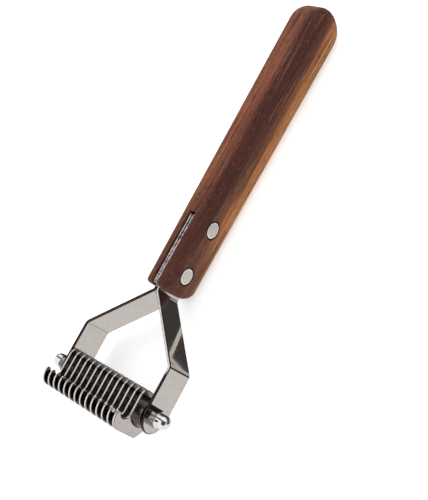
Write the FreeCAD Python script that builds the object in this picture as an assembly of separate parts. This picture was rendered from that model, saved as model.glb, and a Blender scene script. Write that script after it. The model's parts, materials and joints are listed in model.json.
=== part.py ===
import FreeCAD, Part
import math
import os

os.makedirs("parts", exist_ok=True)

# A dematting rake lying on its back: X along the blade axle, +Y towards the handle's domed end, +Z up through the
# side the blades hook towards. The origin is the centre of the footprint, on the surface it lies on. Millimetres.

V = FreeCAD.Vector
X_AXIS = V(1, 0, 0)
Y_AXIS = V(0, 1, 0)
Z_AXIS = V(0, 0, 1)
MARGIN = 5.0                        # how far cutting tools reach past what they cut

# Overall
LENGTH = 184.0                      # sole of the blades to the handle's domed end
WIDTH = 62.0                        # tip to tip of the cap nuts

# Blades and axle
BLADE_COUNT = 14
BLADE_THICKNESS = 0.95
SPACER_THICKNESS = 2.0
SPACER_RADIUS = 5.25
BLADE_PITCH = BLADE_THICKNESS + SPACER_THICKNESS
SOLE_DROP = 10.3                    # axle centre to the heel, the lowest point, along -Y
AXLE_Y = SOLE_DROP - LENGTH / 2
AXLE_Z = 13.3
AXLE_RADIUS = 2.5
AXLE_HALF_FLAT = 2.1                # centre to each flat
BORE_CLEARANCE = 0.05
THREAD_RADIUS = 1.5                 # M3, drawn plain
THREAD_REACH = 3.6                  # past each arm

# Blade outline, measured from the axle centre: y along the handle, z towards the hook
TOE_Y = -9.6                        # where the sole meets the toe's round
TOE_RADIUS = 4.95
TOE_Z = 15.15                       # furthest reach of the hook
TIP_OUTER = (-3.95, 15.05)
TIP_CREST = (-3.05, 14.2)
TIP_INNER = (-3.55, 13.15)
THROAT_FLOOR = (-5.1, 9.7)
THROAT_REAR = (-3.4, 7.4)
FRONT_Z = 7.4
CROWN_FRONT = (4.6, 7.4)
CROWN_CORNER = (6.65, 6.45)
CROWN_TOP = (7.35, 4.3)
CROWN_BACK_MIDDLE = (6.35, -1.0)
CROWN_BACK = (3.4, -5.1)
HEEL_CORNER = (-SOLE_DROP, -1.1)
HEEL_ROUND = 0.8
HEEL_BACK = (-5.85, -5.1)           # end of the heel's slanted cut, at the back

# Arms, two bent strips
STRIP = 1.25                        # thickness
ARM_GAP = 0.05                      # side play between the end spacers and the arms
ARM_WIDTH = 14.4
ARM_BACK_Z = 3.6
ARM_END_DROP = 6.7                  # axle centre to the rounded lower end
BEND_RISE = 18.4                    # axle centre to the lower bend
SLANT = math.radians(43.5)          # slant of the upper arms from the handle's axis
BEND_RADIUS = 1.8                   # inside radius of every bend
ARM_HOLE_RADIUS = 1.58

# Handle
HANDLE_RISE = 42.4                  # axle centre to the handle's base
BASE_DEPTH = 21.6
END_DEPTH = 20.2
BASE_WIDTH = 12.4
END_WIDTH = 17.0
EDGE_ROUND = 5.5
BASE_BACK_ROUND = 11.0
BASE_FRONT_ROUND = 2.0
BASE_EDGE_ROUND = 1.3

# Slot in the handle and the tangs in it
SLOT_WIDTH = 2.7
SLOT_LENGTH = 31.3                  # open at the base and at the front face
SLOT_FLOOR_Z = 3.3
MORTISE_LENGTH = 37.6               # closed continuation of the slot, deeper in the wood
MORTISE_TOP_Z = 16.0
TANG_END_GAP = 0.7
TANG_FRONT_Z = 20.6
TANG_TOP_GAP = 0.3
SHOULDER_INSET = 0.6                # where the strip widens into its tang, inside the handle's base

# Rivets through the handle and both tangs
RIVET_RISES = {"lower": 50.8, "upper": 71.1}
RIVET_Z = 13.0
RIVET_HEAD_RADIUS = 3.2
RIVET_HEAD_DEPTH = 1.8
RIVET_SHANK_RADIUS = 2.0
RIVET_POST_RADIUS = 1.25
RIVET_TUBE_STOP = 3.4               # how far past the middle the tube reaches
RIVET_POST_STOP = 2.6

# Cap nuts
NUT_FLATS = 6.0
NUT_HEX_HEIGHT = 3.2
NUT_DOME_RADIUS = 2.7
NUT_BORE_RADIUS = 1.55
NUT_BORE_DEPTH = 4.6
NUT_SEAT_GAP = 0.05

# Worked out from the above
STACK_HALF = (BLADE_COUNT * BLADE_THICKNESS + (BLADE_COUNT + 1) * SPACER_THICKNESS) / 2
ARM_INNER_X = STACK_HALF + ARM_GAP
ARM_OUTER_X = ARM_INNER_X + STRIP
NUT_SEAT_X = ARM_OUTER_X + NUT_SEAT_GAP
NUT_HEIGHT = WIDTH / 2 - NUT_SEAT_X
BEND_Y = AXLE_Y + BEND_RISE
TANG_BEND_Y = BEND_Y + (ARM_OUTER_X - STRIP) / math.tan(SLANT)
HANDLE_BASE_Y = AXLE_Y + HANDLE_RISE
HANDLE_END_Y = LENGTH / 2
ARM_FRONT_Z = ARM_BACK_Z + ARM_WIDTH
SLOT_END_Y = HANDLE_BASE_Y + SLOT_LENGTH
MORTISE_END_Y = HANDLE_BASE_Y + MORTISE_LENGTH


def box(low, high):
    return Part.makeBox(high[0] - low[0], high[1] - low[1], high[2] - low[2], V(*low))


def rod(radius, start, end):
    """A round bar along X from one x to another, about a centre given as (y, z)."""
    (x0, y, z), x1 = start, end
    return Part.makeCylinder(radius, x1 - x0, V(x0, y, z), X_AXIS)


def line(a, b):
    return Part.LineSegment(a, b).toShape()


def arc(a, through, b):
    return Part.Arc(a, through, b).toShape()


def corner_round(before, corner, after, radius):
    """Start, middle and end of the arc that rounds a corner between two straight edges, as (y, z) pairs."""
    corner = V(*corner, 0)
    to_before = (V(*before, 0) - corner).normalize()
    to_after = (V(*after, 0) - corner).normalize()
    half = to_before.getAngle(to_after) / 2
    reach = radius / math.tan(half)
    middle = corner + (to_before + to_after).normalize() * (radius / math.sin(half) - radius)
    ends = corner + to_before * reach, middle, corner + to_after * reach
    return [(point.x, point.y) for point in ends]


def side_plate(edges, thickness):
    """A plate cut to an outline in a plane of constant x, thickened towards +X."""
    return Part.Face(Part.Wire(edges)).extrude(V(thickness, 0, 0))


def flat_sided_rod(grow, x0, x1):
    """The axle's middle section: a round bar with two flats, grown all round for a bore."""
    radius = AXLE_RADIUS + grow
    half = AXLE_HALF_FLAT + grow
    between_flats = box((x0, AXLE_Y - radius, AXLE_Z - half), (x1, AXLE_Y + radius, AXLE_Z + half))
    return rod(radius, (x0, AXLE_Y, AXLE_Z), x1).common(between_flats)


def blade_outline(x):
    """The hooked outline: sole, rounded toe, blunt tip, throat, straight front, arched crown, back and heel."""
    def at(point):
        return V(x, AXLE_Y + point[0], AXLE_Z + point[1])

    turn = math.sqrt(0.5)
    centre_y = TOE_Y + TOE_RADIUS
    toe_start = (TOE_Y, TOE_Z - TOE_RADIUS)
    toe_middle = (centre_y - TOE_RADIUS * turn, TOE_Z - TOE_RADIUS * (1 - turn))
    toe_end = (centre_y, TOE_Z)
    heel_start, heel_middle, heel_end = corner_round(HEEL_BACK, HEEL_CORNER, toe_start, HEEL_ROUND)
    return [
        arc(at(toe_start), at(toe_middle), at(toe_end)),
        line(at(toe_end), at(TIP_OUTER)),
        arc(at(TIP_OUTER), at(TIP_CREST), at(TIP_INNER)),
        arc(at(TIP_INNER), at(THROAT_FLOOR), at(THROAT_REAR)),
        line(at(THROAT_REAR), at(CROWN_FRONT)),
        arc(at(CROWN_FRONT), at(CROWN_CORNER), at(CROWN_TOP)),
        arc(at(CROWN_TOP), at(CROWN_BACK_MIDDLE), at(CROWN_BACK)),
        line(at(CROWN_BACK), at(HEEL_BACK)),
        line(at(HEEL_BACK), at(heel_start)),
        arc(at(heel_start), at(heel_middle), at(heel_end)),
        line(at(heel_end), at(toe_start)),
    ]


def blade(x):
    plate = side_plate(blade_outline(x), BLADE_THICKNESS)
    return plate.cut(flat_sided_rod(BORE_CLEARANCE, x - MARGIN, x + MARGIN))


def spacer(x):
    ring = rod(SPACER_RADIUS, (x, AXLE_Y, AXLE_Z), x + SPACER_THICKNESS)
    return ring.cut(flat_sided_rod(BORE_CLEARANCE, x - MARGIN, x + MARGIN))


def axle():
    """Flat-sided between the arms, stepped down to a thread that passes through each arm into its nut."""
    middle = flat_sided_rod(0, -STACK_HALF, STACK_HALF)
    reach = ARM_OUTER_X + THREAD_REACH
    return middle.fuse(rod(THREAD_RADIUS, (-reach, AXLE_Y, AXLE_Z), reach)).removeSplitter()


def strip_plan():
    """One strip seen from the front, as a band of constant thickness from the arm's end to the tang's end."""
    miter = STRIP * math.tan(SLANT / 2)
    low = AXLE_Y - ARM_END_DROP
    high = MORTISE_END_Y - TANG_TOP_GAP
    points = [
        (ARM_INNER_X, low), (ARM_OUTER_X, low), (ARM_OUTER_X, BEND_Y), (STRIP, TANG_BEND_Y),
        (STRIP, high), (0, high), (0, TANG_BEND_Y - miter), (ARM_INNER_X, BEND_Y - miter),
    ]
    corners = [V(x, y, ARM_BACK_Z) for x, y in points]
    return Part.Face(Part.makePolygon(corners + corners[:1]))


def bent_strip():
    solid = strip_plan().extrude(V(0, 0, TANG_FRONT_Z - ARM_BACK_Z))
    miter = STRIP * math.tan(SLANT / 2)
    outside = [(ARM_OUTER_X, BEND_Y), (0, TANG_BEND_Y - miter)]
    inside = [(STRIP, TANG_BEND_Y), (ARM_INNER_X, BEND_Y - miter)]
    for corners, radius in ((outside, BEND_RADIUS + STRIP), (inside, BEND_RADIUS)):
        solid = solid.makeFillet(radius, [edge for edge in solid.Edges if stands_at(edge, corners)])
    return solid


def stands_at(edge, corners):
    """True for an edge along Z over one of the (x, y) corners."""
    tolerance = 0.001
    ends = [vertex.Point for vertex in edge.Vertexes]
    return any(all(math.hypot(p.x - x, p.y - y) < tolerance for p in ends) for x, y in corners)


def strip_side():
    """The strip seen from the side: round end, parallel arm, then a wider tang with a stepped top."""
    radius = ARM_WIDTH / 2
    end_y = AXLE_Y - ARM_END_DROP + radius
    shoulder_y = HANDLE_BASE_Y + SHOULDER_INSET
    step_y = SLOT_END_Y - TANG_END_GAP
    step_z = MORTISE_TOP_Z - TANG_TOP_GAP
    top_y = MORTISE_END_Y
    points = [
        (end_y, ARM_BACK_Z), (top_y, ARM_BACK_Z), (top_y, step_z), (step_y, step_z),
        (step_y, TANG_FRONT_Z), (shoulder_y, TANG_FRONT_Z), (shoulder_y, ARM_FRONT_Z), (end_y, ARM_FRONT_Z),
    ]
    corners = [V(-MARGIN, y, z) for y, z in points]
    edges = [line(a, b) for a, b in zip(corners, corners[1:])]
    edges.append(arc(corners[-1], V(-MARGIN, end_y - radius, ARM_BACK_Z + radius), corners[0]))
    return side_plate(edges, ARM_OUTER_X + 2 * MARGIN)


def arm():
    """The arm on the +X side, with its axle hole and two rivet holes."""
    solid = bent_strip().common(strip_side())
    solid = solid.cut(rod(ARM_HOLE_RADIUS, (0, AXLE_Y, AXLE_Z), ARM_OUTER_X + MARGIN))
    for rise in RIVET_RISES.values():
        solid = solid.cut(rod(RIVET_SHANK_RADIUS, (-MARGIN, AXLE_Y + rise, RIVET_Z), MARGIN))
    return solid


def handle_side():
    """Side outline of the handle blank: flat back, round end, and a front that falls slightly towards the end."""
    radius = END_DEPTH / 2
    centre_y = HANDLE_END_Y - radius
    reach = math.hypot(centre_y - HANDLE_BASE_Y, BASE_DEPTH - radius)
    bearing = math.atan2(BASE_DEPTH - radius, HANDLE_BASE_Y - centre_y)
    touch = bearing - math.acos(radius / reach)
    touch_y = centre_y + radius * math.cos(touch)
    touch_z = radius + radius * math.sin(touch)
    slope = (touch_z - BASE_DEPTH) / (touch_y - HANDLE_BASE_Y)
    tail_y = HANDLE_BASE_Y - 2 * MARGIN
    x = -END_WIDTH
    back_tail = V(x, tail_y, 0)
    back_end = V(x, centre_y, 0)
    tip = V(x, HANDLE_END_Y, radius)
    front_end = V(x, touch_y, touch_z)
    front_tail = V(x, tail_y, BASE_DEPTH - slope * 2 * MARGIN)
    return [line(back_tail, back_end), arc(back_end, tip, front_end), line(front_end, front_tail),
            line(front_tail, back_tail)]


def handle_front():
    """Front outline of the handle blank, tapering from the end's width to the base's, as a thick slab."""
    slope = (END_WIDTH - BASE_WIDTH) / 2 / (HANDLE_END_Y - HANDLE_BASE_Y)
    low_y = HANDLE_BASE_Y - 3 * MARGIN
    high_y = HANDLE_END_Y + MARGIN
    low_half = BASE_WIDTH / 2 + slope * (low_y - HANDLE_BASE_Y)
    high_half = BASE_WIDTH / 2 + slope * (high_y - HANDLE_BASE_Y)
    points = [(-low_half, low_y), (low_half, low_y), (high_half, high_y), (-high_half, high_y)]
    corners = [V(x, y, -MARGIN) for x, y in points]
    return Part.Face(Part.makePolygon(corners + corners[:1])).extrude(V(0, 0, END_DEPTH + 2 * MARGIN))


def handle_blank():
    """The shaped wood before its base is trimmed, with its long edges rounded all the way round the end."""
    blank = side_plate(handle_side(), 2 * END_WIDTH).common(handle_front())
    tail_y = HANDLE_BASE_Y - 2 * MARGIN
    long_edges = [edge for edge in blank.Edges
                  if max(vertex.Y for vertex in edge.Vertexes) > tail_y + 1
                  and edge.BoundBox.XLength < END_WIDTH / 2]
    return blank.makeFillet(EDGE_ROUND, long_edges)


def corner_cutter(z, towards, radius):
    """What is cut away to round the base's corner at height z; towards is +1 for the back and -1 for the front."""
    inner_y = HANDLE_BASE_Y + radius
    inner_z = z + towards * radius
    low_z = min(z - towards * MARGIN, inner_z)
    high_z = max(z - towards * MARGIN, inner_z)
    block = box((-END_WIDTH, HANDLE_BASE_Y - MARGIN, low_z), (END_WIDTH, inner_y, high_z))
    return block.cut(rod(radius, (-END_WIDTH, inner_y, inner_z), END_WIDTH))


def trimmed_blank():
    """The blank with its base cut square, its back and front base corners rounded and the base's rim softened."""
    big = 2 * END_WIDTH
    tail = box((-big, HANDLE_BASE_Y - 3 * MARGIN, -MARGIN), (big, HANDLE_BASE_Y, END_DEPTH + MARGIN))
    wood = handle_blank().cut(tail)
    wood = wood.cut(corner_cutter(0, 1, BASE_BACK_ROUND))
    wood = wood.cut(corner_cutter(BASE_DEPTH, -1, BASE_FRONT_ROUND))
    tolerance = 0.01
    rim = [edge for edge in wood.Edges if edge.BoundBox.YMax < HANDLE_BASE_Y + tolerance
           and edge.BoundBox.ZLength > BASE_EDGE_ROUND]
    return wood.makeFillet(BASE_EDGE_ROUND, rim)


def handle(wood):
    """The finished handle: slot, mortise and stepped rivet holes cut into the trimmed blank."""
    half = SLOT_WIDTH / 2
    slot = box((-half, HANDLE_BASE_Y - MARGIN, SLOT_FLOOR_Z), (half, SLOT_END_Y, END_DEPTH + MARGIN))
    mortise = box((-half, HANDLE_BASE_Y, SLOT_FLOOR_Z), (half, MORTISE_END_Y, MORTISE_TOP_Z))
    wood = wood.cut(slot).cut(mortise)
    for rise in RIVET_RISES.values():
        y = AXLE_Y + rise
        seat_x = head_seat(y)
        wood = wood.cut(rod(RIVET_SHANK_RADIUS, (-END_WIDTH, y, RIVET_Z), END_WIDTH))
        wood = wood.cut(rod(RIVET_HEAD_RADIUS, (seat_x, y, RIVET_Z), END_WIDTH))
        wood = wood.cut(rod(RIVET_HEAD_RADIUS, (-END_WIDTH, y, RIVET_Z), -seat_x))
    return wood


def head_seat(y):
    """Distance from the middle to the shoulder under a rivet's head, where the handle is at y."""
    slope = (END_WIDTH - BASE_WIDTH) / 2 / (HANDLE_END_Y - HANDLE_BASE_Y)
    return BASE_WIDTH / 2 + slope * (y - HANDLE_BASE_Y) - RIVET_HEAD_DEPTH


def rivet_tube(y, wood):
    """The +X half: a flush head on a tube that passes through both tangs."""
    seat_x = head_seat(y)
    head = rod(RIVET_HEAD_RADIUS, (seat_x, y, RIVET_Z), END_WIDTH).common(wood)
    shank = rod(RIVET_SHANK_RADIUS, (-RIVET_TUBE_STOP, y, RIVET_Z), seat_x)
    bore = rod(RIVET_POST_RADIUS, (-RIVET_TUBE_STOP, y, RIVET_Z), RIVET_POST_STOP)
    return head.fuse(shank).cut(bore).removeSplitter()


def rivet_post(y, wood):
    """The -X half: a flush head on a solid post that is driven into the tube."""
    seat_x = head_seat(y)
    head = rod(RIVET_HEAD_RADIUS, (-END_WIDTH, y, RIVET_Z), -seat_x).common(wood)
    post = rod(RIVET_POST_RADIUS, (-seat_x, y, RIVET_Z), RIVET_POST_STOP)
    return head.fuse(post).removeSplitter()


def cap_nut():
    """A domed nut on the +X arm: a hexagon with turned corners under a round dome, bored from its seat."""
    corner = NUT_FLATS / math.sqrt(3)
    turns = [math.radians(60 * i) for i in range(6)]
    points = [V(NUT_SEAT_X, AXLE_Y + corner * math.cos(t), AXLE_Z + corner * math.sin(t)) for t in turns]
    hexagon = Part.Face(Part.makePolygon(points + points[:1])).extrude(V(NUT_HEX_HEIGHT, 0, 0))
    wide_end = NUT_FLATS / 2 + NUT_HEX_HEIGHT / math.tan(math.radians(30))
    turned = Part.makeCone(wide_end, NUT_FLATS / 2, NUT_HEX_HEIGHT, V(NUT_SEAT_X, AXLE_Y, AXLE_Z), X_AXIS)
    dome_x = NUT_SEAT_X + NUT_HEIGHT - NUT_DOME_RADIUS
    neck = rod(NUT_DOME_RADIUS, (NUT_SEAT_X, AXLE_Y, AXLE_Z), dome_x)
    dome = Part.makeSphere(NUT_DOME_RADIUS, V(dome_x, AXLE_Y, AXLE_Z))
    solid = hexagon.common(turned).fuse(neck).fuse(dome).removeSplitter()
    return solid.cut(rod(NUT_BORE_RADIUS, (NUT_SEAT_X - MARGIN, AXLE_Y, AXLE_Z), NUT_SEAT_X + NUT_BORE_DEPTH))


def mirrored(shape):
    """The same piece on the other side of the middle plane."""
    return shape.mirror(V(0, 0, 0), X_AXIS)


def save(shape, name):
    shape.exportStep("parts/" + name + ".step")


def save_blades_and_spacers():
    """Spacers and blades in turn along the axle, numbered from the -X end."""
    for i in range(BLADE_COUNT + 1):
        start = -STACK_HALF + i * BLADE_PITCH
        save(spacer(start), f"spacer_{i + 1:02d}")
        if i < BLADE_COUNT:
            save(blade(start + SPACER_THICKNESS), f"blade_{i + 1:02d}")


def save_rivets(wood):
    for place, rise in RIVET_RISES.items():
        save(rivet_tube(AXLE_Y + rise, wood), f"rivet_{place}_tube")
        save(rivet_post(AXLE_Y + rise, wood), f"rivet_{place}_post")


wood = trimmed_blank()
save(handle(wood), "handle")
save_rivets(wood)
right_arm = arm()
save(right_arm, "arm_right")
save(mirrored(right_arm), "arm_left")
save(axle(), "axle")
save_blades_and_spacers()
right_nut = cap_nut()
save(right_nut, "cap_nut_right")
save(mirrored(right_nut), "cap_nut_left")
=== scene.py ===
import json
import math

import bmesh
import bpy
from mathutils import Matrix, Vector


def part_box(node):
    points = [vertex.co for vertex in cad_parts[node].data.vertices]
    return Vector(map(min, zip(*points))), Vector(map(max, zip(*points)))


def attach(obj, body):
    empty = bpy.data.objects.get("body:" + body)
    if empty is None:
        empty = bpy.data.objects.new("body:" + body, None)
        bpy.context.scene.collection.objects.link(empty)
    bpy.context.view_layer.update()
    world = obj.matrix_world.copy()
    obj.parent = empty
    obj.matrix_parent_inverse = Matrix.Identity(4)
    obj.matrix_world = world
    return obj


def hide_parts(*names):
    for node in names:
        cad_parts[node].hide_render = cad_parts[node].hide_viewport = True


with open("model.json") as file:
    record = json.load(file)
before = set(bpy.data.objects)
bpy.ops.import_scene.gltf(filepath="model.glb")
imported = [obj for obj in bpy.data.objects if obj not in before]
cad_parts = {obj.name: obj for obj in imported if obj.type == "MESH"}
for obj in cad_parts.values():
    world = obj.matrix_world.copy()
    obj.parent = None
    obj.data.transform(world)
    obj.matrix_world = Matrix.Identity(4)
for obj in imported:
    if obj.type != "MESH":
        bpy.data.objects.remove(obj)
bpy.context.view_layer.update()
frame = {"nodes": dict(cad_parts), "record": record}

MM = 0.001

# Camera, aimed at a point near the middle of the tool
CAMERA_AIM = Vector((5.11, -15.78, 4.37)) * MM
CAMERA_DISTANCE = 314.7 * MM
CAMERA_AZIMUTH = math.radians(76.08)
CAMERA_ELEVATION = math.radians(53.07)
CAMERA_ROLL = math.radians(-50.24)
CAMERA_LENS = 57.906
SENSOR = 36.0

# Light on the tool and the floor
ROOM_LIGHT = (1.25, 1.25, 1.25, 1)  # even light from all round, as in a white tent
KEY_DIRECTION = Vector((-0.72, 0.22, 0.66)).normalized()
KEY_DISTANCE = 0.55
KEY_SIZE = 0.35
KEY_POWER = 0.8
FLOOR_SIZE = 3.0
FLOOR_GLOW = 0.37
FLOOR_TONES = (0.90, 0.90, 0.90, 1), (0.92, 0.92, 0.92, 1)

# The room as polished metal shows it. Ranges are of one component of the direction, so they run from -1 to 1.
LIGHT_TENT = (0.98, 0.97, 0.96, 1)
DARK_ROOM = (0.070, 0.066, 0.068, 1)
# It is dark beyond the handle's end, up to a soft limit of height
WEDGE_NORMAL = Vector((0, math.cos(math.radians(13)), math.sin(math.radians(13))))
WEDGE_BLUR = 0.03
WEDGE_TOP = (-0.05, 0.20)
# Steeply below, that dark part holds a thin gap of light and light and dark stripes side by side
STEEP = (-0.72, -0.66)
GAP_NORMAL = Vector((-0.151, 0.807, 0.571)).normalized()
GAP_HALF_WIDTH = math.radians(0.17)
GAP_MIDDLE = (0.62, 0.60, 0.52, 1)
GAP_EDGE = (1.25, 1.22, 1.12, 1)
STRIPES = [                         # start, end, blur, colour
    (0.0325, 0.0362, 0.0004, (1.1, 1.08, 1.06, 1)),
    (0.0400, 0.40, 0.003, (0.90, 0.87, 0.85, 1)),
    (0.40, 0.53, 0.02, (0.06, 0.015, 0.015, 1)),
    (0.53, 1.20, 0.02, (1.05, 0.97, 0.96, 1)),
]
# Overhead there is a dark slot between the two halves of the tent
SLOT = (0.15, 0.45)
SLOT_BLUR = 0.05
OVERHEAD = (0.15, 0.35)
# The tent has a round dark opening on the viewer's side
OPENING = Vector((0.586, -0.139, 0.798)).normalized()
OPENING_ANGLE = math.radians(34)
OPENING_BLUR = math.radians(7)

# Rounding of the edges, by material slot, in millimetres
EDGE_ROUNDS = {"wood": 0.30, "arm_steel": 0.45, "rivet_metal": 0.18, "axle_steel": 0.10, "blade_steel": 0.27,
               "spacer_steel": 0.15, "nut_chrome": 0.14}
EDGE_SEGMENTS = 3
SHARP_ANGLE = math.radians(32)      # only edges sharper than this are rounded
SAME_POINT = 0.001 * MM
FLAT_ANGLE = math.radians(0.2)
SIDE_FACING = 0.3                   # faces turned further than this from the x axis are a strip's edges

# The handle's end
END_FLAT = 2.0 * MM                 # half the width of the end that stays where it is
END_REACH = 7.0 * MM                # how far from the end its shoulders are drawn back
END_DROP = 1.3 * MM                 # by how much, at the sides

# Places where a material changes
BEND_RISE = 18.4 * MM               # axle to the arms' lower bend
HEX_HEIGHT = 3.2 * MM               # the nuts' hexagon, below the dome

# Wood: bands of colour that run across the section, from the front's far corner to the back's near one
BAND_DIRECTION = (0.8, 0, -0.6)
BAND_RANGE = (-18.5 * MM, 7.5 * MM)
BANDS = [
    (0.00, (0.090, 0.026, 0.015)), (0.10, (0.215, 0.070, 0.034)), (0.20, (0.165, 0.052, 0.026)),
    (0.28, (0.120, 0.036, 0.022)), (0.36, (0.074, 0.021, 0.014)), (0.46, (0.060, 0.016, 0.010)),
    (0.55, (0.066, 0.019, 0.012)), (0.64, (0.085, 0.022, 0.009)), (0.71, (0.290, 0.098, 0.030)),
    (0.80, (0.420, 0.175, 0.050)), (0.90, (0.350, 0.150, 0.045)), (1.00, (0.170, 0.066, 0.022)),
]
BAND_DRIFT = 2.2 * MM               # slow wandering of the bands
BAND_WANDER = 1.1 * MM              # quick wandering
WOOD_STREAK = (0.034, 0.010, 0.007, 1)
WOOD_GLOW = (0.33, 0.14, 0.075, 1)
WOOD_BASE = (0.075, 0.022, 0.013, 1)
BASE_SHADE = 0.72                   # how much darker the wood is at the handle's base
BASE_REACH = 45 * MM
WOOD_PORE = (0.020, 0.007, 0.005, 1)
WOOD_FLECK = (0.36, 0.20, 0.14, 1)
END_GRAIN = (0.125, 0.048, 0.032, 1)
# Painted highlight: a pale pinkish sheen on the handle's end, on the faces turned towards one side
END_HIGHLIGHT_TONE = (0.30, 0.155, 0.125, 1)
END_HIGHLIGHT_SIDE = Vector((-0.40, 0.75, 0.50)).normalized()
RIVET_RING_TONE = (0.009, 0.004, 0.003, 1)
RIVET_RING_REACH = (0.55 * MM, 1.0 * MM)

# Metals
ARM_TONES = (0.505, 0.473, 0.45, 1), (0.56, 0.53, 0.51, 1)
ARM_CLOUD = (0.50, 0.455, 0.425, 1)
# Painted dark reflection along the arms' bends
ARM_BEND_REFLECTION = (0.16, 0.14, 0.13, 1)
PRESSED_TONES = (0.030, 0.027, 0.026, 1), (0.11, 0.10, 0.095, 1)
# Painted highlight on the right arm's slanted front edge
RIGHT_SLANT_HIGHLIGHT = (0.95, 0.92, 0.90, 1)
FILED_TONES = (0.95, 0.92, 0.91, 1), (0.30, 0.27, 0.27, 1)
PARTING_RANGE = (14 * MM, 19 * MM)  # above the base, where the filed strips begin to show a line between them
BLADE_TONES = (0.46, 0.42, 0.40, 1), (0.52, 0.485, 0.465, 1)
# Ground edges, lightened partly as a painted highlight; rounded corners darkened as painted shade
GROUND_EDGE_AND_HIGHLIGHT = (0.86, 0.83, 0.80, 1)
BLADE_CORNER_SHADE = (0.05, 0.045, 0.042, 1)
TURNED_STAIN = (0.55, 0.48, 0.43)   # share of each colour left where turned steel is stained
SPACER_TONE = (0.24, 0.21, 0.20)
AXLE_TONE = (0.50, 0.48, 0.47)
TURNED_SHINE = 0.22
DOME_TONES = (0.88, 0.875, 0.87, 1), (0.80, 0.79, 0.78, 1)
# The hexagon's facets, darkened as a painted dark reflection over lines along the axle; its edges lightened
# as a painted highlight
HEX_TONES_AND_DARK_REFLECTION = (0.10, 0.09, 0.088, 1), (0.46, 0.43, 0.42, 1)
HEX_EDGE_HIGHLIGHT = (0.92, 0.90, 0.88, 1)
RIVET_TONES = (0.60, 0.565, 0.52, 1), (0.72, 0.69, 0.655, 1)
RIVET_RIM = (1.0, 0.96, 0.94, 1)

# Sockets of Blender's Mix node that carry colours
COLOUR_A = 6
COLOUR_B = 7
COLOUR_RESULT = 2


class Paint:
    """A material's node tree, with short calls for adding and linking nodes."""

    def __init__(self, name):
        self.material = bpy.data.materials.new(name)
        self.material.use_nodes = True
        self.tree = self.material.node_tree
        self.surface = self.tree.nodes["Principled BSDF"]
        self.place = self.add("ShaderNodeTexCoord").outputs["Object"]
        self.normal = self.add("ShaderNodeNewGeometry").outputs["Normal"]

    def add(self, kind, inputs=None, **settings):
        node = self.tree.nodes.new(kind)
        for key, value in settings.items():
            setattr(node, key, value)
        self.fill(node, inputs or {})
        return node

    def fill(self, node, inputs):
        """Links each input that is a socket, and sets each one that is a value."""
        for key, value in inputs.items():
            if isinstance(value, bpy.types.NodeSocket):
                self.tree.links.new(value, node.inputs[key])
            else:
                node.inputs[key].default_value = value

    def stretched(self, scale, shift=(0, 0, 0)):
        """The place on the piece, scaled along each axis: noise is drawn out where the scale is small."""
        node = self.add("ShaderNodeMapping", {"Vector": self.place, "Location": shift, "Scale": scale})
        return node.outputs["Vector"]

    def noise(self, vector, scale, detail=2.0, roughness=0.5, distortion=0.0):
        node = self.add("ShaderNodeTexNoise", {"Vector": vector, "Scale": scale, "Detail": detail,
                                               "Roughness": roughness, "Distortion": distortion})
        return node.outputs["Fac"]

    def remap(self, value, low, high, new_low=0.0, new_high=1.0, smooth=False):
        node = self.add("ShaderNodeMapRange", {"Value": value, "From Min": low, "From Max": high,
                                               "To Min": new_low, "To Max": new_high})
        node.interpolation_type = "SMOOTHSTEP" if smooth else "LINEAR"
        return node.outputs["Result"]

    def math(self, operation, a, b=0.0):
        return self.add("ShaderNodeMath", {0: a, 1: b}, operation=operation).outputs["Value"]

    def band(self, value, start, end, blur):
        """1 between start and end, 0 outside, with soft borders."""
        rise = self.remap(value, start - blur, start + blur)
        return self.math("MULTIPLY", rise, self.remap(value, end - blur, end + blur, 1.0, 0.0))

    def along(self, vector, direction):
        """The component of a vector along a direction."""
        node = self.add("ShaderNodeVectorMath", {0: vector, 1: direction}, operation="DOT_PRODUCT")
        return node.outputs["Value"]

    def mix(self, factor, a, b):
        """From colour a, where the factor is 0, to colour b, where it is 1."""
        node = self.add("ShaderNodeMix", {0: factor}, data_type="RGBA")
        self.fill(node, {COLOUR_A: a, COLOUR_B: b})
        return node.outputs[COLOUR_RESULT]

    def ramp(self, value, stops):
        node = self.add("ShaderNodeValToRGB", {"Fac": value})
        elements = node.color_ramp.elements
        while len(elements) < len(stops):
            elements.new(0.5)
        for element, (position, colour) in zip(elements, stops):
            element.position = position
            element.color = (*colour, 1)
        return node.outputs["Color"]

    def bump(self, height, strength, distance):
        node = self.add("ShaderNodeBump", {"Height": height, "Strength": strength, "Distance": distance})
        return node.outputs["Normal"]

    def edges(self, radius, low=0.80, high=0.985):
        """1 on the edges of a piece, within a radius of them, and 0 on its faces."""
        bevel = self.add("ShaderNodeBevel", {"Radius": radius}, samples=6)
        return self.remap(self.along(bevel.outputs["Normal"], self.normal), low, high, 1.0, 0.0)

    def finish(self, **inputs):
        self.fill(self.surface, {key.replace("_", " "): value for key, value in inputs.items()})
        return self.material


def grain(paint, scale, stretch, detail, roughness, shift=(0, 0, 0)):
    """Noise drawn out along the handle."""
    return paint.noise(paint.stretched((1, stretch, 1), shift), scale, detail, roughness)


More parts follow.
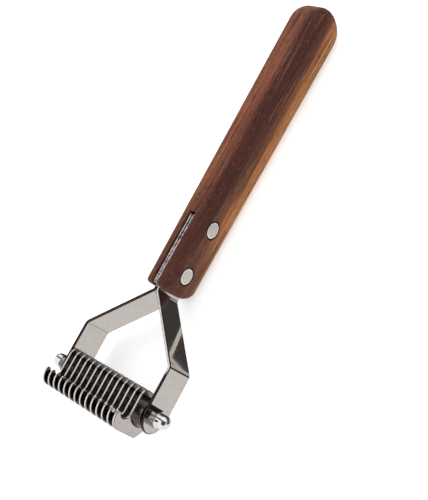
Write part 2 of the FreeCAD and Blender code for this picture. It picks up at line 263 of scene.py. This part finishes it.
def wood():
    """Oiled hardwood: bands, dark streaks, pores and flecks along the handle, plainer on its end grain."""
    paint = Paint("wood")
    base_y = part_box("handle")[0][1]
    drift = grain(paint, 95, 0.10, 2, 0.5)
    wander = grain(paint, 420, 0.03, 3, 0.55)
    across = paint.along(paint.place, BAND_DIRECTION)
    across = paint.math("ADD", across, paint.remap(drift, 0.3, 0.7, -BAND_DRIFT, BAND_DRIFT))
    across = paint.math("ADD", across, paint.remap(wander, 0.3, 0.7, -BAND_WANDER, BAND_WANDER))
    colour = paint.ramp(paint.remap(across, *BAND_RANGE), BANDS)
    streaks = grain(paint, 1150, 0.014, 4, 0.7)
    colour = paint.mix(paint.remap(streaks, 0.46, 0.58, 0.0, 0.68), colour, WOOD_STREAK)
    glow = grain(paint, 700, 0.04, 2, 0.5, (0.3, 0, 0))
    colour = paint.mix(paint.remap(glow, 0.56, 0.72, 0.0, 0.35), colour, WOOD_GLOW)
    height = paint.along(paint.place, (0, 1, 0))
    shade = paint.remap(height, base_y, base_y + BASE_REACH, BASE_SHADE, 0.0, smooth=True)
    colour = paint.mix(shade, colour, WOOD_BASE)
    pores = paint.remap(grain(paint, 2100, 0.16, 2, 0.6, (0, 0, 0.2)), 0.54, 0.66)
    colour = paint.mix(paint.math("MULTIPLY", pores, 0.60), colour, WOOD_PORE)
    flecks = paint.remap(grain(paint, 1900, 0.3, 1, 0.5, (0.1, 0, 0)), 0.62, 0.74)
    colour = paint.mix(paint.math("MULTIPLY", flecks, 0.16), colour, WOOD_FLECK)
    end_on = paint.math("ABSOLUTE", paint.along(paint.normal, (0, 1, 0)))
    colour = paint.mix(paint.remap(end_on, 0.45, 0.90, 0.0, 0.75), colour, END_GRAIN)
    # Painted highlight: a pale pinkish sheen on the faces of the handle's end that turn towards one side
    end_highlight = paint.remap(paint.along(paint.normal, END_HIGHLIGHT_SIDE), 0.72, 0.98, 0.0, 0.55, smooth=True)
    colour = paint.mix(end_highlight, colour, END_HIGHLIGHT_TONE)
    colour = dark_rivet_ring(paint, colour)
    relief = paint.math("SUBTRACT", paint.math("MULTIPLY", streaks, 0.5), pores)
    rough = paint.remap(streaks, 0.3, 0.7, 0.40, 0.52)
    return paint.finish(Base_Color=colour, Roughness=rough, Normal=paint.bump(relief, 0.35, 0.07 * MM),
                        Specular_IOR_Level=0.18)


def rivets(paint):
    """For each rivet, its radius and a socket with the distance from its centre line."""
    for node in ("rivet_lower_tube", "rivet_upper_tube"):
        low, high = (Vector(corner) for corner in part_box(node))
        centre = (low + high) / 2
        off_centre = paint.stretched((0, 1, 1), (0, -centre.y, -centre.z))
        length = paint.add("ShaderNodeVectorMath", {0: off_centre}, operation="LENGTH")
        yield (high.z - low.z) / 2, length.outputs["Value"]


def dark_rivet_ring(paint, colour):
    """Darkens the wood in a thin ring round each rivet."""
    start, end = RIVET_RING_REACH
    for radius, distance in rivets(paint):
        ring = paint.remap(distance, radius + start, radius + end, 0.95, 0.0, smooth=True)
        colour = paint.mix(ring, colour, RIVET_RING_TONE)
    return colour


def arm_steel():
    """Polished strip: light, faintly mottled, with fine lines along the strip, and a painted dark reflection
    along its bends.
    """
    paint = Paint("arm_steel")
    lines = paint.noise(paint.stretched((0.02, 0.02, 1)), 7000, 2, 0.6)
    mottle = paint.noise(paint.place, 900, 3, 0.6)
    cloud = paint.noise(paint.place, 90, 3, 0.6)
    colour = paint.mix(paint.remap(mottle, 0.35, 0.65), *ARM_TONES)
    colour = paint.mix(paint.remap(cloud, 0.4, 0.62, 0.0, 0.5), colour, ARM_CLOUD)
    facing = paint.math("ABSOLUTE", paint.along(paint.normal, (1, 0, 0)))
    past_slant = paint.remap(facing, 0.74, 0.80)
    # Painted dark reflection on the bends, where the faces turn between the slant and the flat
    bent = paint.math("MULTIPLY", past_slant, paint.remap(facing, 0.90, 0.985, 1.0, 0.0))
    colour = paint.mix(paint.math("MULTIPLY", bent, 0.35), colour, ARM_BEND_REFLECTION)
    rough = paint.remap(cloud, 0.35, 0.65, 0.02, 0.04)
    relief = paint.math("ADD", lines, paint.math("MULTIPLY", mottle, 0.3))
    return paint.finish(Base_Color=colour, Roughness=rough, Normal=paint.bump(relief, 0.008, 0.004 * MM),
                        Metallic=1.0)


def arm_edge():
    """The strip's edges: dark from the press, with a painted highlight on the right arm's slant, and bright
    inside the handle.
    """
    paint = Paint("arm_edge")
    height = paint.along(paint.place, (0, 1, 0))
    frontwards = paint.along(paint.normal, (0, 0, 1))
    worn = paint.noise(paint.place, 1500, 3, 0.6)
    colour = paint.mix(paint.remap(worn, 0.45, 0.75), *PRESSED_TONES)
    # Painted highlight: the right arm's front edge above its lower bend
    bend_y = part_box("axle")[0][1] + BEND_RISE
    upper = paint.remap(height, bend_y - 1.0 * MM, bend_y + 1.0 * MM)
    right = paint.remap(paint.along(paint.place, (1, 0, 0)), 0.0, 0.1 * MM)
    flat = paint.remap(frontwards, 0.93, 0.98)
    bright = paint.math("MULTIPLY", paint.math("MULTIPLY", upper, right), flat)
    colour = paint.mix(bright, colour, RIGHT_SLANT_HIGHLIGHT)
    base_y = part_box("handle")[0][1]
    inside = paint.remap(height, base_y - 0.3 * MM, base_y)
    scuffed = paint.noise(paint.place, 800, 3, 0.6)
    filed = paint.mix(paint.remap(scuffed, 0.46, 0.62), *FILED_TONES)
    start, end = PARTING_RANGE
    parting = paint.remap(height, base_y + start, base_y + end, 0.30, 0.90)
    front = paint.remap(frontwards, parting, paint.math("ADD", parting, 0.05))
    colour = paint.mix(paint.math("MULTIPLY", inside, front), colour, filed)
    bright = paint.math("MAXIMUM", bright, inside)
    rough = paint.math("ADD", paint.remap(worn, 0.3, 0.7, 0.2, 0.3), paint.math("MULTIPLY", bright, 0.25))
    return paint.finish(Base_Color=colour, Roughness=rough, Metallic=1.0)


def blade_steel():
    """Polished faces, with ground edges made brighter, partly by a painted highlight, between corners
    darkened by painted shade.
    """
    paint = Paint("blade_steel")
    grind = paint.noise(paint.stretched((1, 0.03, 1)), 6000, 2, 0.6)
    cloud = paint.noise(paint.place, 260, 3, 0.6)
    facing = paint.math("ABSOLUTE", paint.along(paint.normal, (1, 0, 0)))
    # The ground edges' light colour is partly a painted highlight
    ground = paint.remap(facing, 0.08, 0.35, 1.0, 0.0)
    colour = paint.mix(ground, paint.mix(paint.remap(cloud, 0.35, 0.65), *BLADE_TONES), GROUND_EDGE_AND_HIGHLIGHT)
    # Painted shade on the rounded corners between the edges and the faces
    corner = paint.band(facing, 0.38, 0.90, 0.05)
    colour = paint.mix(paint.math("MULTIPLY", corner, 0.9), colour, BLADE_CORNER_SHADE)
    rough = paint.remap(cloud, 0.35, 0.65, 0.07, 0.12)
    rough = paint.math("ADD", rough, paint.math("MULTIPLY", ground, 0.30))
    return paint.finish(Base_Color=colour, Roughness=rough, Normal=paint.bump(grind, 0.05, 0.01 * MM),
                        Metallic=1.0)


def turned_steel(name, tone):
    """Plain turned steel: rings about the axle's line, with a little staining."""
    paint = Paint(name)
    rings = paint.noise(paint.stretched((1, 0.02, 0.02)), 5200, 2, 0.6)
    stain = paint.noise(paint.place, 420, 3, 0.65)
    stained = [channel * share for channel, share in zip(tone, TURNED_STAIN)]
    colour = paint.mix(paint.remap(stain, 0.38, 0.66), (*tone, 1), (*stained, 1))
    rough = paint.remap(stain, 0.3, 0.7, TURNED_SHINE, TURNED_SHINE + 0.15)
    return paint.finish(Base_Color=colour, Roughness=rough, Normal=paint.bump(rings, 0.15, 0.02 * MM),
                        Metallic=1.0)


def nut_chrome():
    """Bright plating: smooth on the turned dome; dull on the hexagon, with lines along the axle from drawing,
    its facets darkened by a painted dark reflection and its edges lightened by a painted highlight.
    """
    paint = Paint("nut_chrome")
    dome_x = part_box("cap_nut_right")[0][0] + HEX_HEIGHT
    reach = paint.math("ABSOLUTE", paint.along(paint.place, (1, 0, 0)))
    hexagon = paint.remap(reach, dome_x - 0.1 * MM, dome_x, 1.0, 0.0)
    lines = paint.noise(paint.stretched((0.12, 1, 1)), 2300, 3, 0.6)
    film = paint.noise(paint.place, 700, 2, 0.5)
    dome = paint.mix(paint.remap(film, 0.4, 0.65), *DOME_TONES)
    # Painted dark reflection on the hexagon's facets, over lines along the axle
    hex_lines_and_reflection = paint.mix(paint.remap(lines, 0.38, 0.62), *HEX_TONES_AND_DARK_REFLECTION)
    # Painted highlight along the hexagon's edges
    hex_lines_and_reflection = paint.mix(paint.edges(0.22 * MM), hex_lines_and_reflection, HEX_EDGE_HIGHLIGHT)
    colour = paint.mix(hexagon, dome, hex_lines_and_reflection)
    rough = paint.math("ADD", 0.04, paint.math("MULTIPLY", hexagon, 0.14))
    return paint.finish(Base_Color=colour, Roughness=rough, Normal=paint.bump(lines, 0.05, 0.02 * MM),
                        Metallic=1.0)


def rivet_metal():
    """Soft metal ground flush with the wood: satin, with swirled grinding marks and a bright rim."""
    paint = Paint("rivet_metal")
    swirl = paint.noise(paint.place, 3000, 3, 0.7, 1.5)
    cloud = paint.noise(paint.place, 800, 2, 0.5)
    colour = paint.mix(paint.remap(cloud, 0.35, 0.65), *RIVET_TONES)
    for radius, distance in rivets(paint):
        rim = paint.band(distance, radius - 0.45 * MM, radius + 0.1 * MM, 0.12 * MM)
        colour = paint.mix(rim, colour, RIVET_RIM)
    rough = paint.remap(swirl, 0.3, 0.7, 0.30, 0.48)
    return paint.finish(Base_Color=colour, Roughness=rough, Normal=paint.bump(swirl, 0.12, 0.02 * MM),
                        Metallic=1.0)


def placed(name, mesh):
    """A new object of the scene that shows a mesh."""
    item = bpy.data.objects.new(name, mesh)
    bpy.context.scene.collection.objects.link(item)
    return item


def round_end(shape):
    """Draws the shoulders of the handle's far end back, so that it looks as round from the front."""
    half_width, end_y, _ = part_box("handle")[1]
    for vert in shape.verts:
        out = max(abs(vert.co.x) - END_FLAT, 0) / (half_width - END_FLAT)
        near = min(max((vert.co.y - end_y) / END_REACH + 1, 0), 1)
        vert.co.y -= END_DROP * out ** 2 * near * near * (3 - 2 * near)


def cleaned_copy(node, slot):
    """A copy of a CAD node's mesh with its flat faces whole again."""
    mesh = bpy.data.meshes.new(node + "_finished")
    shape = bmesh.new()
    shape.from_mesh(frame["nodes"][node].data)
    bmesh.ops.remove_doubles(shape, verts=shape.verts, dist=SAME_POINT)
    if slot == "wood":
        round_end(shape)
    bmesh.ops.dissolve_limit(shape, angle_limit=FLAT_ANGLE, verts=shape.verts, edges=shape.edges)
    shape.to_mesh(mesh)
    shape.free()
    if "custom_normal" in mesh.attributes:
        mesh.attributes.remove(mesh.attributes["custom_normal"])
    mesh.shade_smooth()
    return mesh


def round_edges(piece, slot):
    bevel = piece.modifiers.new("rounded_edges", "BEVEL")
    bevel.width = EDGE_ROUNDS[slot] * MM
    bevel.segments = EDGE_SEGMENTS
    bevel.material = len(piece.data.materials) - 1
    bevel.use_clamp_overlap = False
    bevel.limit_method = "ANGLE"
    bevel.angle_limit = SHARP_ANGLE


def keep_inside(piece, node):
    """Applies the rounding, and holds every point of it inside the node's own box."""
    low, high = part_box(node)
    rounded = piece.evaluated_get(bpy.context.evaluated_depsgraph_get())
    mesh = bpy.data.meshes.new_from_object(rounded)
    for vert in mesh.vertices:
        vert.co = [min(max(place, least), most) for place, least, most in zip(vert.co, low, high)]
    piece.modifiers.clear()
    piece.data = mesh


def finished(node, slot, materials):
    """A finer copy of a CAD node. Its sharp edges are rounded, and its edge faces take the last material."""
    mesh = cleaned_copy(node, slot)
    for material in materials:
        mesh.materials.append(material)
    for face in mesh.polygons:
        face.material_index = len(materials) - 1 if abs(face.normal.x) < SIDE_FACING else 0
    piece = placed(node + "_finished", mesh)
    round_edges(piece, slot)
    keep_inside(piece, node)
    piece.modifiers.new("even_shading", "WEIGHTED_NORMAL")
    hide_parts(node)
    return piece


def pieces():
    """One finished piece for each node of the record, riding with its body."""
    record = frame["record"]
    materials = {
        "wood": [wood()],
        "arm_steel": [arm_steel(), arm_edge()],
        "blade_steel": [blade_steel()],
        "nut_chrome": [nut_chrome()],
        "rivet_metal": [rivet_metal()],
        "spacer_steel": [turned_steel("spacer_steel", SPACER_TONE)],
        "axle_steel": [turned_steel("axle_steel", AXLE_TONE)],
    }
    bodies = {node: body for body, nodes in record["behaviour"]["bodies"].items() for node in nodes}
    for part in record["subparts"]:
        node, slot = part["node"], part["material_slot"]
        piece = finished(node, slot, materials[slot])
        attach(piece, bodies[node])


def floor():
    """A wide pale sheet lit from below. Polished metal shows the room instead of it."""
    mesh = bpy.data.meshes.new("floor")
    shape = bmesh.new()
    bmesh.ops.create_grid(shape, x_segments=1, y_segments=1, size=FLOOR_SIZE)
    shape.to_mesh(mesh)
    shape.free()
    sheet = placed("floor", mesh)
    paint = Paint("floor_paper")
    tone = paint.mix(paint.noise(paint.place, 40), *FLOOR_TONES)
    mesh.materials.append(paint.finish(Base_Color=tone, Roughness=0.9, Emission_Color=tone,
                                       Emission_Strength=FLOOR_GLOW))
    sheet.visible_glossy = False


class RoomPaint(Paint):
    """The room's own node tree, with the same short calls as a material's."""

    def __init__(self, name):
        self.world = bpy.data.worlds.new(name)
        self.world.use_nodes = True
        self.tree = self.world.node_tree
        self.background = self.tree.nodes["Background"]
        self.direction = self.add("ShaderNodeTexCoord").outputs["Generated"]


def beyond_the_handle(paint, seen, height):
    """Darkens the room beyond the handle's end, and adds the stripes and the gap of light down there."""
    side = paint.along(paint.direction, WEDGE_NORMAL)
    wedge = paint.remap(side, -WEDGE_BLUR, WEDGE_BLUR)
    wedge = paint.math("MULTIPLY", wedge, paint.remap(height, *WEDGE_TOP, 1.0, 0.0))
    steep = paint.remap(height, *STEEP, 1.0, 0.0)
    sideways = paint.along(paint.direction, (1, 0, 0))
    beyond = DARK_ROOM
    for start, end, blur, colour in STRIPES:
        stripe = paint.math("MULTIPLY", steep, paint.band(sideways, start, end, blur))
        beyond = paint.mix(stripe, beyond, colour)
    return paint.mix(wedge, seen, beyond), paint.math("MULTIPLY", wedge, steep)


def gap_of_light(paint, seen, where):
    """A thin bright line, as between two sheets of the tent that don't quite meet."""
    away = paint.math("ABSOLUTE", paint.along(paint.direction, GAP_NORMAL))

    def across(start, end, *new_range):
        return paint.remap(away, math.sin(GAP_HALF_WIDTH * start), math.sin(GAP_HALF_WIDTH * end), *new_range)

    gap = paint.math("MULTIPLY", across(0.9, 1.1, 1.0, 0.0), where)
    return paint.mix(gap, seen, paint.mix(across(0.3, 0.7), GAP_MIDDLE, GAP_EDGE))


def room():
    """The room for reflections, and even light for everything else."""
    paint = RoomPaint("studio")
    height = paint.along(paint.direction, (0, 0, 1))
    seen, low_down = beyond_the_handle(paint, LIGHT_TENT, height)
    slot = paint.band(paint.along(paint.direction, (0, 1, 0)), *SLOT, SLOT_BLUR)
    slot = paint.math("MULTIPLY", slot, paint.remap(height, *OVERHEAD))
    seen = paint.mix(slot, seen, DARK_ROOM)
    towards = paint.along(paint.direction, OPENING)
    outer, inner = math.cos(OPENING_ANGLE + OPENING_BLUR), math.cos(OPENING_ANGLE - OPENING_BLUR)
    seen = paint.mix(paint.remap(towards, outer, inner), seen, DARK_ROOM)
    seen = gap_of_light(paint, seen, low_down)
    glossy = paint.add("ShaderNodeLightPath").outputs["Is Glossy Ray"]
    paint.fill(paint.background, {"Color": paint.mix(glossy, ROOM_LIGHT, seen)})
    bpy.context.scene.world = paint.world


def key_light():
    """A soft lamp that shapes the shadow on the floor. Polished metal doesn't show it."""
    data = bpy.data.lights.new("key", "AREA")
    data.shape = "SQUARE"
    data.size = KEY_SIZE
    data.energy = KEY_POWER
    lamp = placed("key", data)
    lamp.location = CAMERA_AIM + KEY_DIRECTION * KEY_DISTANCE
    lamp.rotation_euler = KEY_DIRECTION.to_track_quat("Z", "Y").to_euler()
    lamp.visible_glossy = False


def camera():
    data = bpy.data.cameras.new("camera")
    data.lens = CAMERA_LENS
    data.sensor_width = SENSOR
    data.clip_start = 0.01
    data.clip_end = 10
    level = math.cos(CAMERA_ELEVATION)
    back = Vector((math.sin(CAMERA_AZIMUTH) * level, -math.cos(CAMERA_AZIMUTH) * level,
                   math.sin(CAMERA_ELEVATION)))
    turn = (-back).to_track_quat("-Z", "Y").to_matrix() @ Matrix.Rotation(CAMERA_ROLL, 3, "Z")
    eye = placed("camera", data)
    eye.matrix_world = Matrix.Translation(CAMERA_AIM + back * CAMERA_DISTANCE) @ turn.to_4x4()
    bpy.context.scene.camera = eye


bpy.context.scene.view_settings.view_transform = "Standard"
camera()
floor()
room()
key_light()
pieces()
